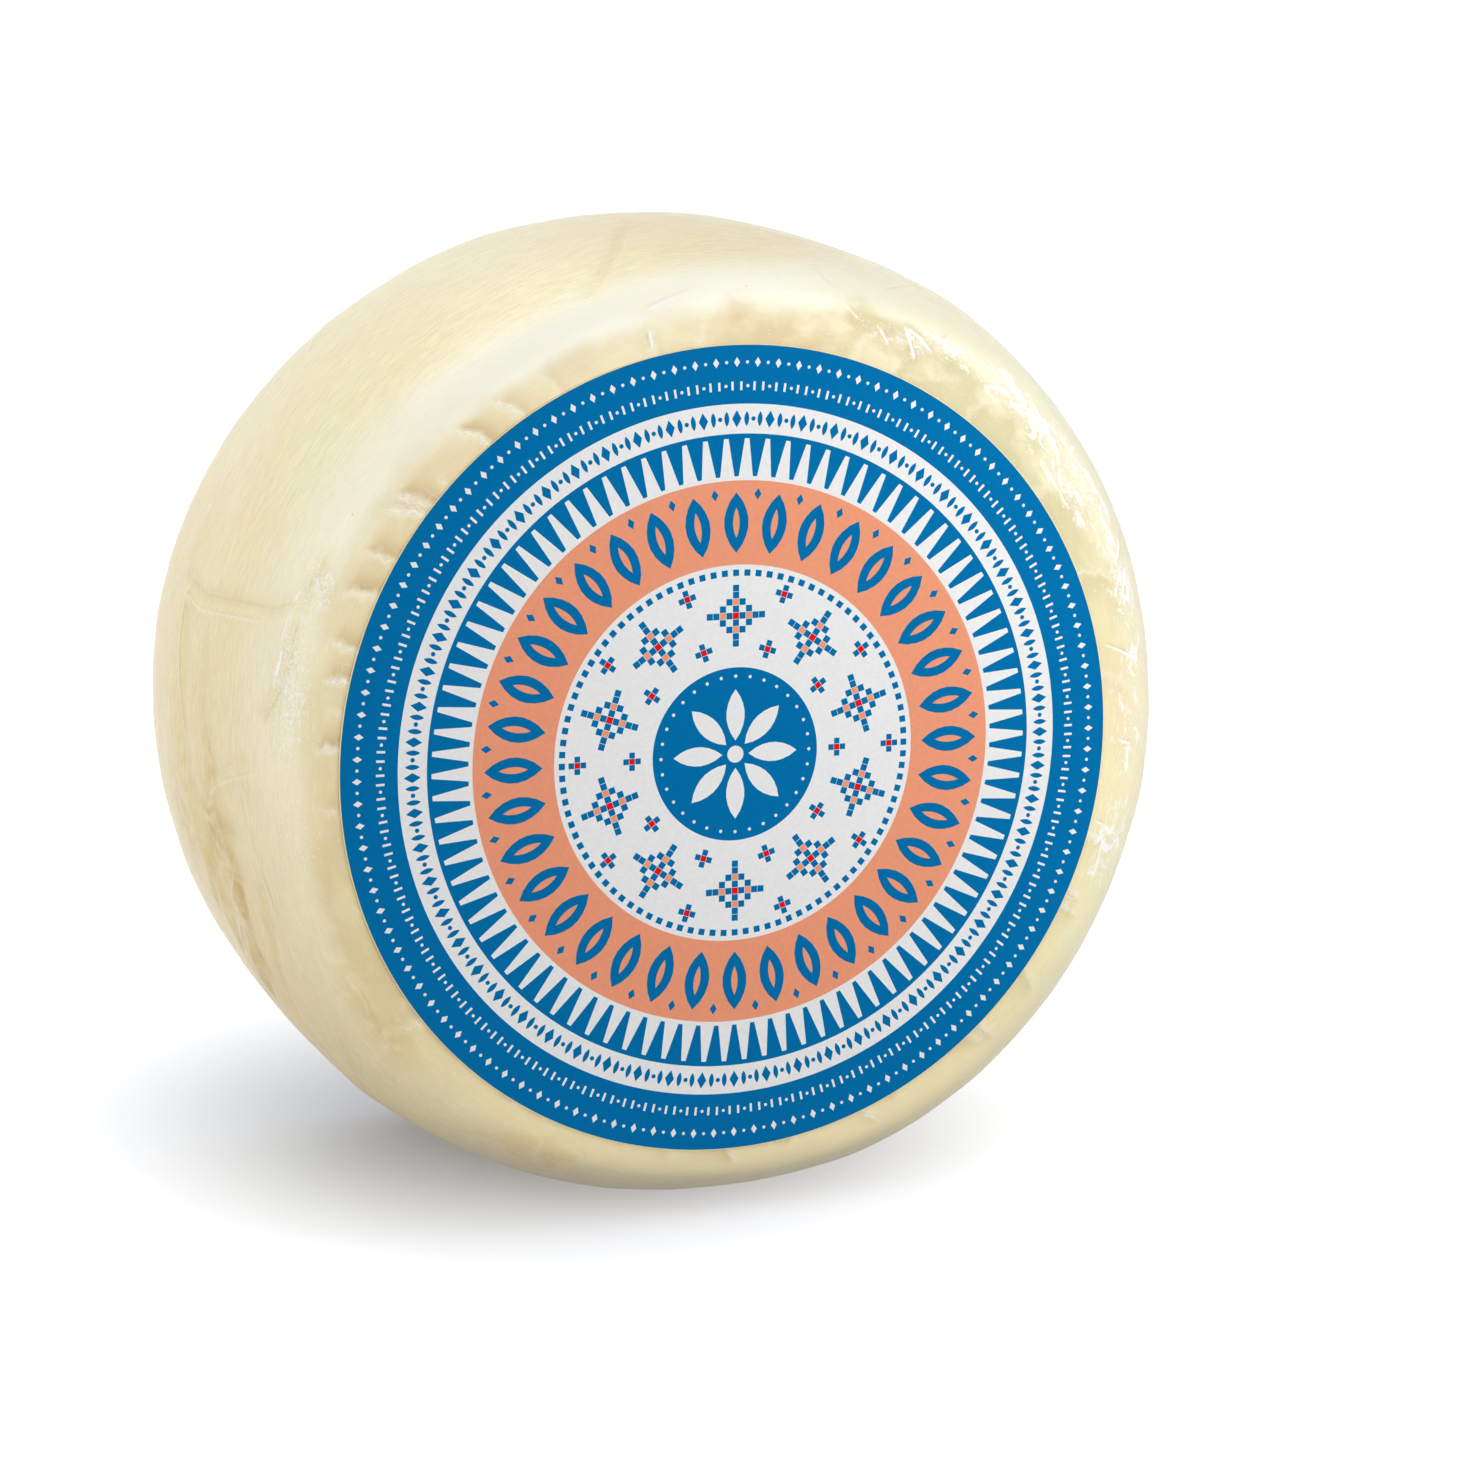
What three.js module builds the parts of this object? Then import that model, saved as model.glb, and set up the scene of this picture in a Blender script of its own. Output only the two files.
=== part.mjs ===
// A wheel of fresh sheep's milk cheese, standing on its edge, with a round paper label on one face.
// Millimetres, +Z up. The wheel's axis runs along Y, and the labelled face looks along -Y.
// The origin is on the small flat that the soft cheese makes where it rests, straight below the axis.
import * as THREE from "three";
import { mergeVertices } from "three/addons/utils/BufferGeometryUtils.js";

// The wheel
const wheelRadius = 88;
const halfHeight = 45.5; // from the middle of the wheel to either face
const rimWidth = 20; // how far in from the widest point the rim meets a flat face
const faceExponent = 4; // a higher number keeps the face flat for longer before it turns down
const sideExponent = 2; // 2 gives the side the even curve of a barrel
const faceRadius = wheelRadius - rimWidth;

// Where the wheel rests, the cheese gives a little and makes a flat
const restDepth = 0.9;
const restBlend = 0.3; // the flat's border rounds up into the side over this height

// The label
const labelRadius = 70.7;
const labelThickness = 0.35;
const labelGap = 0.05;
const labelShift = { x: -1, z: -2 }; // it was laid on slightly off the wheel's middle

// How finely the wheel is divided
const turnSegments = 144;
const rimSegments = 32;
const faceRings = [26, 48, 60];
const labelSegments = 144;

// The outline isn't a true circle: waves per turn, height, and the angle of a crest in degrees.
// Angles run from +X towards +Z, as the labelled face is seen.
const outlineWaves = [
  { count: 2, height: 0.31, crest: 18 },
  { count: 3, height: 0.18, crest: 60 },
  { count: 4, height: 0.14, crest: 39 },
  { count: 5, height: 0.15, crest: 13 },
  { count: 6, height: 0.17, crest: -5 },
  { count: 7, height: 0.09, crest: -19 },
];

// The side has low swells where the curd settled in the mould: waves per turn and waves from face
// to face, with their height and the angle of a crest.
const sideSwells = [
  { count: 4, across: 1, height: 0.28, crest: 190 },
  { count: 7, across: 1.5, height: 0.18, crest: 30 },
  { count: 11, across: 0.5, height: 0.1, crest: 75 },
];

// The mould's follower leaves a shallow trough round each face, which the cloth has pleated
const trough = { inner: 70, outer: 80, depth: 0.55 };
const pleats = { count: 36, height: 0.4 };

// A crease runs aslant along the -X side. Its place and width are shares of the half height,
// measured from the middle of the side, and it moves by its slant with each degree of the turn.
const crease = { turnMiddle: 192, turnReach: 44, middle: -0.22, slant: -0.009, width: 0.13, depth: 0.8 };

// The rim's section from the labelled face's edge, over the side, to the far face's edge:
// x is the radius and y the place along the wheel's axis.
class RimSection extends THREE.Curve {
  constructor() {
    super();
    this.arcLengthDivisions = 2000; // the section turns fast where it leaves a face
  }

  getPoint(t, target = new THREE.Vector2()) {
    const along = Math.sin((t - 0.5) * Math.PI);
    const bulge = (1 - Math.abs(along) ** sideExponent) ** (1 / faceExponent);
    return target.set(faceRadius + rimWidth * bulge, halfHeight * along);
  }
}

// The whole section, from the axis at one face to the axis at the other.
function wheelSection() {
  const nearFace = [0, ...faceRings].map((radius) => new THREE.Vector2(radius, -halfHeight));
  const farFace = [0, ...faceRings].map((radius) => new THREE.Vector2(radius, halfHeight));
  return [...nearFace, ...new RimSection().getSpacedPoints(rimSegments), ...farFace.reverse()];
}

// The direction that the bare section faces, as x outwards and y along the axis.
function sectionNormal(radius, y) {
  const bulge = Math.max(0, (radius - faceRadius) / rimWidth);
  const along = y / halfHeight;
  const outwards = (faceExponent * bulge ** (faceExponent - 1)) / rimWidth;
  const axial = (sideExponent * Math.abs(along) ** (sideExponent - 1)) / halfHeight;
  return new THREE.Vector2(outwards, Math.sign(along) * axial).normalize();
}

// 1 at the middle of a stretch, falling smoothly to 0 at its reach on either side.
function hump(distance, reach) {
  const share = Math.min(1, Math.abs(distance) / reach);
  return (1 - share * share) ** 2;
}

// The shortest way round from one angle to another, in degrees.
function turnBetween(from, to) {
  return THREE.MathUtils.euclideanModulo(to - from + 180, 360) - 180;
}

function waveHeight(wave, degrees) {
  return wave.height * Math.cos(THREE.MathUtils.degToRad(wave.count * (degrees - wave.crest)));
}

function outlineRelief(degrees) {
  return outlineWaves.reduce((sum, wave) => sum + waveHeight(wave, degrees), 0);
}

function swellRelief(degrees, along) {
  return sideSwells.reduce((sum, swell) => {
    return sum + waveHeight(swell, degrees) * Math.sin(Math.PI * swell.across * (along + 0.2));
  }, 0);
}

function troughRelief(degrees, radius, onLabelledFace) {
  const middle = (trough.inner + trough.outer) / 2;
  const bowl = hump(radius - middle, (trough.outer - trough.inner) / 2);
  const turn = THREE.MathUtils.degToRad(onLabelledFace ? degrees : degrees + 40);
  const wander = 1.2 * Math.sin(5 * turn) + 0.8 * Math.sin(11 * turn + 1);
  const strength = 0.55 + 0.45 * Math.cos(turn - Math.PI); // the pleats are sharpest on the -X side
  return bowl * (pleats.height * strength * Math.cos(pleats.count * turn + wander) - trough.depth);
}

function creaseRelief(degrees, along) {
  const turned = turnBetween(crease.turnMiddle, degrees);
  const across = hump(along - crease.middle - crease.slant * turned, crease.width);
  return -crease.depth * across * hump(turned, crease.turnReach);
}

// The middle of the wheel stands lower than its radius by the flat's depth and the outline's dip there.
const centreHeight = wheelRadius + outlineRelief(-90) - restDepth;

// A height that never goes below the floor: flat at 0, and rounded where the flat begins.
function restOnFloor(z) {
  if (z <= -restBlend) return 0;
  if (z >= restBlend) return z;
  return (z + restBlend) ** 2 / (4 * restBlend);
}

function makeCheese() {
  const lathe = new THREE.LatheGeometry(wheelSection(), turnSegments);
  const point = new THREE.Vector3();
  const place = lathe.getAttribute("position");
  for (let i = 0; i < place.count; i++) {
    point.fromBufferAttribute(place, i);
    const radius = Math.hypot(point.x, point.z);
    const degrees = THREE.MathUtils.radToDeg(Math.atan2(point.z, point.x));
    const normal = sectionNormal(radius, point.y);
    const along = point.y / halfHeight;
    const relief =
      (outlineRelief(degrees) + swellRelief(degrees, along)) * normal.x +
      troughRelief(degrees, radius, along < 0) +
      creaseRelief(degrees, along);
    const outwards = radius > 0 ? (radius + relief * normal.x) / radius : 1;
    point.set(point.x * outwards, point.y + relief * normal.y, point.z * outwards);
    place.setXYZ(i, point.x, point.y, restOnFloor(point.z + centreHeight));
  }
  lathe.deleteAttribute("normal");
  lathe.deleteAttribute("uv");
  const geometry = mergeVertices(lathe, 1e-3);
  geometry.computeVertexNormals();
  const cheese = new THREE.Mesh(
    geometry,
    new THREE.MeshStandardMaterial({ color: "#f1e8c6", roughness: 0.38, metalness: 0 }),
  );
  cheese.name = "cheese";
  return cheese;
}

function makeLabel() {
  const disc = new THREE.CylinderGeometry(labelRadius, labelRadius, labelThickness, labelSegments);
  const label = new THREE.Mesh(
    disc,
    new THREE.MeshStandardMaterial({ color: "#0a6fae", roughness: 0.6, metalness: 0 }),
  );
  label.name = "label";
  const outOfFace = halfHeight + labelGap + labelThickness / 2;
  label.position.set(labelShift.x, -outOfFace, centreHeight + labelShift.z);
  return label;
}

const wheel = new THREE.Group();
wheel.add(makeCheese(), makeLabel());

export default wheel;
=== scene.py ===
import math
import random
from functools import partial

import bmesh
import bpy
import numpy as np
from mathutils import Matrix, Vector, geometry, noise


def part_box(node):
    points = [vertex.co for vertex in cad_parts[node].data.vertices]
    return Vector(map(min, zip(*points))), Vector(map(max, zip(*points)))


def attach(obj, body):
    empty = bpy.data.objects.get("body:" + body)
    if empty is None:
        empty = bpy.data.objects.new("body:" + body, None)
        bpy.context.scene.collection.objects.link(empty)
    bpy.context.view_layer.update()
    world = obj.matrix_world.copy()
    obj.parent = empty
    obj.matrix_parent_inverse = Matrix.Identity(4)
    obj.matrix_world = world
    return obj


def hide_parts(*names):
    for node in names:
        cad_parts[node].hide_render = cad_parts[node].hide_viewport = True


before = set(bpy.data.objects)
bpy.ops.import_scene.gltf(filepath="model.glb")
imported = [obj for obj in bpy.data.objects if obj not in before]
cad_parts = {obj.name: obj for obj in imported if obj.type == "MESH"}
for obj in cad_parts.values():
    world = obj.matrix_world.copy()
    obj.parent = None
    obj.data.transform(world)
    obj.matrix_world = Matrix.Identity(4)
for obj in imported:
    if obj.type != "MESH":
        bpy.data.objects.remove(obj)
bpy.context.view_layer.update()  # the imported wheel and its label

mm = 0.001  # sizes below are in millimetres, and Blender's are in metres


# Small tools

def hexColour(code):
    # An sRGB hex value as the linear colour that a shader takes
    channels = [int(code[i:i + 2], 16) / 255 for i in (1, 3, 5)]
    return (*[c / 12.92 if c <= 0.04045 else ((c + 0.055) / 1.055) ** 2.4 for c in channels], 1)


def addNode(tree, kind, settings=None, links=None):
    # Adds one shader node. A setting is one of the node's own, or else the value of one of its inputs.
    # A link comes from a socket, or from the first output that a node has in use
    node = tree.nodes.new("ShaderNode" + kind)
    for name, value in (settings or {}).items():
        if isinstance(name, str) and hasattr(node, name):
            setattr(node, name, value)
        else:
            node.inputs[name].default_value = value
    for name, source in (links or {}).items():
        if isinstance(source, bpy.types.Node):
            source = next(output for output in source.outputs if output.enabled)
        tree.links.new(source, node.inputs[name])
    return node


def newMaterial(name):
    material = bpy.data.materials.new(name)
    material.use_nodes = True
    material.node_tree.nodes.clear()
    return material, material.node_tree


def hump(distance, reach):
    # 1 at the middle of a stretch, falling smoothly to 0 at its reach on either side
    share = np.minimum(1, np.abs(distance) / reach)
    return (1 - share * share) ** 2


def ramp(value, start, end):
    # 0 before start, 1 after end, and a smooth rise between
    share = np.clip((value - start) / (end - start), 0, 1)
    return share * share * (3 - 2 * share)


def turnBetween(start, end):
    # The shortest way round from one angle to another, in degrees
    return (end - start + 180) % 360 - 180


def noiseField(points, size, seed):
    # Smooth noise from -1 to 1, whose lumps are about size millimetres
    shift = Vector((seed * 17.3, seed * 5.1, -seed * 9.7))
    return np.array([noise.noise(Vector(p) / size + shift) for p in points])


# The wheel of cheese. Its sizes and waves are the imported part's own, and it stands for that solid

cheeseLow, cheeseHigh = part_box("cheese")
labelLow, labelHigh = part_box("label")

wheel = {
    "radius": 88.0,
    "halfHeight": (cheeseHigh.y - cheeseLow.y) / 2 / mm,
    "rimWidth": 20.0,
    "faceExponent": 4,
    "sideExponent": 2,
    "restDepth": 0.9,
    "restBlend": 0.3,
    "turnSteps": 720,
    "rimSteps": 112,
    "faceRings": (10, 18, 26, 34, 42, 49, 55, 60, 64),
    "lumps": ((9, 1, 0.15), (4, 2, 0.04)),  # size, seed and height
    "streaks": (16, 1.6, 3, 0.045),  # length, width, seed and height
    "seed": 7,
}

# Waves per turn, height and the angle of a crest. Angles run from +X towards +Z
outlineWaves = [
    (2, 0.31, 18),
    (3, 0.18, 60),
    (4, 0.14, 39),
    (5, 0.15, 13),
    (6, 0.17, -5),
    (7, 0.09, -19),
]

# Waves per turn and from face to face, height and the angle of a crest
sideSwells = [
    (4, 1, 0.28, 190),
    (7, 1.5, 0.18, 30),
    (11, 0.5, 0.1, 75),
]

# The shallow trough that the mould's follower leaves round each face, and the margin in it, which is
# moister and tanner. Its outer edge is given as (angle, radius), and its strength as (angle, share)
trough = {
    "inner": 69.5,
    "outer": 78.5,
    "depth": [(0, 0.2), (30, 0.3), (60, 0.34), (100, 0.32), (130, 0.42), (175, 0.42), (200, 0.25),
              (225, 0.06), (310, 0.06), (340, 0.1)],
}
margin = {
    "edge": [(0, 75.8), (45, 75.6), (60, 76), (72, 76.8), (85, 75.4), (100, 75), (112, 74.8), (122, 75.4),
             (132, 76.4), (146, 77.6), (160, 78.1), (180, 78.2), (200, 77.8), (225, 78.4), (250, 78),
             (300, 76.5)],
    "strength": [(0, 0.1), (20, 0.5), (45, 0.9), (60, 1.1), (75, 1.0), (88, 0.75), (100, 0.42), (125, 0.35),
                 (150, 0.25), (180, 0.25), (195, 0.5), (215, 0.45), (232, 0), (260, 0), (300, 0.1), (340, 0)],
}

# Pleats that the cloth has pressed into the margin: the angle at the label's edge and at the outer end,
# the radius where it ends, how sharp and high the ridge is (its crest painted as a highlight), and how
# deep the hollow beside it is and how dark the painted shade in it
pleats = [
    (186.0, 184.6, 76.0, 0.12, 0.35),
    (177.2, 177.5, 75.8, 0.34, 0.9),
    (172.4, 171.6, 74.6, 0.10, 0.3),
    (168.1, 168.4, 75.8, 0.32, 0.75),
    (163.9, 163.2, 76.0, 0.26, 0.7),
    (156.0, 157.0, 76.8, 0.32, 0.95),
    (150.6, 151.6, 76.4, 0.20, 0.75),
    (143.5, 145.9, 77.0, 0.36, 0.5),
    (141.8, 143.5, 76.8, 0.26, 1.0),
    (138.4, 137.6, 73.6, 0.16, 0.3),
    (130.0, 132.8, 76.4, 0.26, 0.95),
    (124.2, 126.4, 75.6, 0.22, 0.5),
    (118.0, 119.6, 75.0, 0.10, 0.35),
    (103.2, 103.3, 73.8, 0.20, 0.15),
    (96.0, 94.0, 75.0, 0.10, 0.2),
    (72.5, 68.6, 76.5, 0.10, 0.30),
    (66.0, 60.0, 76.8, 0.12, 0.35),
    (52.5, 48.0, 77.0, 0.10, 0.25),
    (36.0, 32.5, 77.0, 0.10, 0.25),
    (22.0, 17.5, 77.2, 0.12, 0.3),
    (6.0, 2.6, 76.4, 0.10, 0.25),
]
plainPleats = {"count": 46, "height": (0.05, 0.2), "tan": (0.1, 0.5), "end": (74.0, 77.0), "lean": 2.5}

pleatForm = {
    "height": 0.6,  # millimetres of ridge for a sharpness of 1
    "halfWidth": 0.9,
    "hollowDepth": 0.16,
    "hollowWidth": 2.6,
    "crisp": 0.36,  # the sharpness at which the pale crest is full
}

# The crease along the -X side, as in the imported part
crease = {"turnMiddle": 192, "turnReach": 44, "middle": -0.22, "slant": -0.009, "width": 0.13, "depth": 0.8}

# Folds in the coating. Each is a line of (angle, millimetres from the middle of the side towards the
# far face), then the ridge's height, and its half width. A ridge below 0 is a groove
folds = [
    ([(163, 12), (164, -8), (163, -23), (162, -37), (160, -42), (157, -43.5), (152, -44)], -0.3, 1.1),
    ([(164.5, 12), (165.5, -8), (164.5, -23), (163.6, -35)], 0.22, 1.2),
    ([(161, -42), (164.5, -42), (167, -42.4), (169.5, -42.2), (172.6, -40), (175, -38)], -0.34, 0.9),
    ([(158, -41.4), (161, -40.6), (164.5, -40.6), (167, -41), (171, -40.4)], 0.24, 1.0),
    ([(148, 8.4), (155, 9.6), (160, 10), (164, 7)], 0.22, 1.1),
    ([(163, 6), (167, 3.6), (170, 1.9), (175, -1), (179, -4.6), (182, -6.8), (185, -9.8), (188.4, -12.4)],
     0.34, 1.1),
    ([(166, -12.6), (171, -15), (176, -15.6), (181, -19.6), (186, -21)], -0.2, 1.2),
    ([(186, -16), (184, -22), (182.4, -29), (181, -37)], 0.2, 0.9),
    ([(184.6, -16), (182.6, -22), (181, -29), (179.8, -36)], -0.16, 0.9),
    ([(189, -29), (188.6, -24), (190, -18), (192, -12), (195, -9), (199, -5), (203, -2)], -0.4, 1.2),
    ([(190, -24), (195, -23), (200, -21), (206, -17), (211, -11), (215, -6)], -0.4, 1.3),
    ([(196, -11), (202, -7), (206, -6.6), (207, -10)], -0.26, 0.9),
    ([(198, -19), (203, -14), (209, -9), (214, -8)], 0.26, 1.5),
    ([(212, -39), (219, -31), (226, -22), (231, -14)], -0.2, 1.1),
    ([(193, -33), (200, -31), (208, -25), (216, -17)], -0.26, 0.9),
    ([(194, -22), (200, -15), (207, -7), (213, 0)], 0.3, 1.2),
    ([(176, -30), (184, -31), (192, -34), (200, -35)], 0.18, 0.9),
    ([(201, -12), (209, -4), (218, 3)], -0.3, 1.2),
    ([(222, -17), (231, -9), (240, -4)], 0.24, 1.2),
    ([(94, -6), (98, -18), (101, -28), (106, -38), (109.4, -43.5)], -0.22, 0.9),
    ([(95, -6), (99, -18), (102.2, -28), (107.2, -38)], 0.14, 1.0),
    ([(62, -30), (66, -36), (70, -41)], 0.2, 0.9),
    ([(79.3, -40.6), (78.4, -43.4), (77, -45)], 0.24, 0.6),
    ([(102.8, -47.9), (100.4, -47.3), (96, -46.2)], 0.16, 0.5),
    ([(109.4, -44), (107.4, -40.4), (105, -36)], 0.12, 0.5),
    ([(103.2, -54), (103.1, -51.4)], 0.4, 0.5),
    ([(70.1, -49.5), (69, -50.8), (68, -51.7)], 0.42, 0.5),
    ([(66.8, -47.8), (65.4, -49.8), (63.6, -52.6)], 0.5, 0.6),
    ([(66.4, -47.8), (64, -48.6), (61.8, -49.8)], 0.34, 0.5),
    ([(75.6, -47.4), (74.4, -48.4), (73.2, -49.3)], 0.26, 0.5),
    ([(61.4, -47.8), (60.8, -46.9), (60.3, -46.2)], 0.4, 0.5),
    ([(48.4, -48.8), (46.2, -48.4), (43.6, -46.6), (41.5, -45.4)], 0.3, 0.5),
    ([(45.5, -45.2), (42.6, -47.2), (38.8, -48), (36.8, -49.4)], 0.36, 0.6),
    ([(23.4, -44.8), (22, -46.4), (20.8, -48)], 0.44, 0.6),
    ([(19.2, -46), (17.6, -47.6), (15.8, -48.6)], 0.34, 0.5),
    ([(10.6, -54), (9.4, -51.6), (8, -49), (7, -46.6)], 0.36, 0.5),
    ([(-3.8, -51.2), (-4.2, -49)], 0.42, 0.5),
    ([(-15.6, -53.4), (-16, -51.6)], 0.36, 0.5),
]

# The far side isn't in the photograph: a few folds like the near side's, further round
farFolds = [
    ([(20, 30), (26, 12), (25, -6)], -0.24, 1.0),
    ([(60, 42), (66, 40), (72, 41), (80, 38)], -0.3, 1.0),
    ([(118, 40), (125, 34), (131, 22), (134, 10)], 0.22, 1.1),
    ([(228, 41), (236, 38), (244, 39), (251, 36)], -0.3, 1.1),
    ([(300, 12), (306, 20), (309, 33)], -0.22, 1.0),
    ([(335, 36), (342, 30), (352, 27), (358, 31)], 0.22, 1.1),
]


# Soft places on the side: the middle as (angle, millimetres across), the reach round and across, and
# the strength. First where oil has stained the rind, then where the coating dried thick and wrinkled,
# where glints are painted
stains = [
    (191, -17, 9, 6, 1.0),
    (197, -21, 8, 4, 0.9),
    (194, 1, 14, 8, 0.5),
    (204, -17, 8, 4, 0.8),
    (182, -19, 8, 3, 0.5),
    (207, -8, 9, 5, 0.8),
    (221, -9, 9, 4, 0.6),
    (214, -46, 14, 4, 0.35),
    (243, -44, 12, 6, 0.3),
    (78, -20, 12, 8, 0.25),
    (330, 30, 14, 8, 0.6),
    (60, 38, 12, 6, 0.5),
    (140, 34, 10, 7, 0.5),
]
thickCoats = [
    (170, -43.4, 14, 4.4, 0.95),
    (158, -44, 8, 3.4, 0.8),
    (186, -44.5, 12, 3.4, 0.55),
    (60, -47.6, 10, 2.4, 0.6),
    (46, -47, 14, 3, 1.0),
    (30, -46.6, 14, 3.2, 1.0),
    (18, -47, 10, 3.4, 0.9),
    (8, -47.6, 8, 3.4, 0.7),
    (34, -50.4, 12, 2, 0.9),
    (-2, -49.6, 12, 4, 0.7),
    (-18, -49, 12, 4, 0.7),
    (101, -47.6, 5, 1.2, 0.6),
    (103.2, -52.6, 1.5, 2.5, 0.5),
    (68, -50, 8, 3, 0.35),
    (250, 44, 18, 6, 0.7),
    (120, 44, 16, 6, 0.6),
]


def rimSection(count):
    # The rim from the near face's edge to the far face's, in even steps: radius and place along the axis
    along = np.sin(np.linspace(-math.pi / 2, math.pi / 2, 4001))
    bulge = (1 - np.abs(along) ** wheel["sideExponent"]) ** (1 / wheel["faceExponent"])
    radius = wheel["radius"] - wheel["rimWidth"] * (1 - bulge)
    y = along * wheel["halfHeight"]
    length = np.concatenate([[0], np.cumsum(np.hypot(np.diff(radius), np.diff(y)))])
    even = np.linspace(0, length[-1], count + 1)
    return np.interp(even, length, radius), np.interp(even, length, y)


def wheelSection():
    # Radius, place along the axis, and millimetres from the middle of the side, ring by ring
    rings = np.array(wheel["faceRings"])
    rimRadius, rimY = rimSection(wheel["rimSteps"])
    radius = np.concatenate([rings, rimRadius, rings[::-1]])
    y = np.concatenate([rings * 0 - wheel["halfHeight"], rimY, rings * 0 + wheel["halfHeight"]])
    across = np.concatenate([[0], np.cumsum(np.hypot(np.diff(radius), np.diff(y)))])
    return radius, y, across - across[-1] / 2


def sectionNormal(radius, y):
    bulge = np.maximum(0, 1 - (wheel["radius"] - radius) / wheel["rimWidth"])
    along = y / wheel["halfHeight"]
    out = wheel["faceExponent"] * bulge ** (wheel["faceExponent"] - 1) / wheel["rimWidth"]
    axial = wheel["sideExponent"] * np.abs(along) ** (wheel["sideExponent"] - 1) / wheel["halfHeight"]
    size = np.hypot(out, axial)
    return out / size, np.sign(along) * axial / size


def outlineRelief(turn):
    return sum(height * np.cos(np.radians(count * (turn - crest))) for count, height, crest in outlineWaves)


def swellRelief(turn, along):
    return sum(
        height * np.cos(np.radians(count * (turn - crest))) * np.sin(math.pi * across * (along + 0.2))
        for count, across, height, crest in sideSwells
    )


def creaseRelief(turn, along):
    turned = turnBetween(crease["turnMiddle"], turn)
    across = hump(along - crease["middle"] - crease["slant"] * turned, crease["width"])
    return -crease["depth"] * across * hump(turned, crease["turnReach"])


def drawnPleats(draw, skip=lambda angle: False):
    # Low, plain pleats at uneven angles, for the parts of a face where none are given
    drawn = []
    for i in range(plainPleats["count"]):
        start = (i + draw.uniform(-0.4, 0.4)) * 360 / plainPleats["count"]
        end = start + draw.uniform(-1, 1) * plainPleats["lean"]
        row = (start, end, *(draw.uniform(*plainPleats[key]) for key in ("end", "height", "tan")))
        if not skip(start):
            drawn.append(row)
    return drawn


def pleatRelief(turn, radius, lines):
    # The pleats' height, how dark the painted shade in the hollow beside each is, and for the crisp crest
    # the distance to it and its strength
    height = np.zeros(np.broadcast_shapes(turn.shape, radius.shape))
    shade, strength = np.zeros_like(height), np.zeros_like(height)
    place, nearest = np.full_like(height, 9.0), np.full_like(height, 1e9)
    form = pleatForm
    for start, end, reach, ridge, tan in lines:
        share = np.clip((radius - 70) / (reach - 70), 0, 1)
        middle = start + turnBetween(start, end) * share ** 1.5
        offset = np.radians(turnBetween(turn, middle)) * radius
        window = ramp(radius, 66, 69) * (1 - ramp(radius, reach - 2.2, reach + 0.3))
        hollow = ramp(offset, 0, 1) * np.exp(-np.maximum(offset - 1, 0) / form["hollowWidth"]) * window
        height += form["height"] * ridge * np.exp(-(offset / form["halfWidth"]) ** 2) * window
        height -= form["hollowDepth"] * tan * hollow
        shade = np.maximum(shade, tan * hollow)
        closer = np.abs(offset) < nearest
        place = np.where(closer, np.clip(offset, -9, 9), place)
        crisp = ridge / form["crisp"] * window * (1 - ramp(np.abs(offset), 2, 3.2))
        strength = np.where(closer, crisp, strength)
        nearest = np.minimum(nearest, np.abs(offset))
    return height, shade, place, strength


def roundTable(turn, rows):
    # Reads a table of (angle, value) all the way round, with straight steps between
    angles, values = zip(*rows)
    return np.interp(turn % 360, angles, values, period=360)


def lineDistance(turn, across, line):
    # Millimetres from each point of the side to a line drawn on it, on which side of the line it lies,
    # and how far along the line it is
    perDegree = math.radians(1) * wheel["radius"]
    x = turnBetween(line[0][0], turn) * perDegree
    points = np.array([(turnBetween(line[0][0], t) * perDegree, a) for t, a in line])
    best = np.full(np.broadcast_shapes(turn.shape, across.shape), 1e9)
    share, hand = np.zeros_like(best), np.ones_like(best)
    for i, (a, b) in enumerate(zip(points[:-1], points[1:])):
        step = b - a
        s = np.clip(((x - a[0]) * step[0] + (across - a[1]) * step[1]) / (step @ step), 0, 1)
        d = np.hypot(x - a[0] - s * step[0], across - a[1] - s * step[1])
        share = np.where(d < best, (i + s) / (len(points) - 1), share)
        hand = np.where(d < best, np.sign((x - a[0]) * step[1] - (across - a[1]) * step[0]), hand)
        best = np.minimum(best, d)
    return best, hand, share


def softField(turn, across, places):
    # How strongly each point lies in one of the soft places
    perDegree = math.radians(1) * wheel["radius"]
    field = 0
    for middle, place, turnReach, acrossReach, strength in places:
        x = turnBetween(middle, turn) * perDegree / turnReach
        field = np.maximum(field, strength * np.exp(-(x * x + ((across - place) / acrossReach) ** 2)))
    return field


def foldRelief(turn, across, lines):
    # The folds' height, how near each point is to a groove, which darkens the rind there with painted
    # shade, and for the crisp middle of each fold the distance to it and its strength
    height = np.zeros(np.broadcast_shapes(turn.shape, across.shape))
    tint, strength = np.zeros_like(height), np.zeros_like(height)
    nearest = np.full_like(height, 1e9)
    signed = np.full_like(height, 9.0)
    for line, ridge, width in lines:
        distance, hand, share = lineDistance(turn, across, line)
        fade = ramp(share, 0, 0.12) * (1 - ramp(share, 0.88, 1))
        height += ridge * np.exp(-(distance / width) ** 2) * fade
        # a groove gets ochre painted shade round it
        if ridge < 0:
            tint = np.maximum(tint, min(1, -ridge * 1.8) * np.exp(-(distance / (width * 2.2)) ** 2) * fade)
        closer = distance < nearest
        signed = np.where(closer, np.clip(distance * hand, -9, 9), signed)
        strength = np.where(closer, fade * ridge / 0.5, strength)
        nearest = np.minimum(nearest, distance)
    return height, tint, signed, strength * ramp(9 - nearest, 1, 5)


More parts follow.
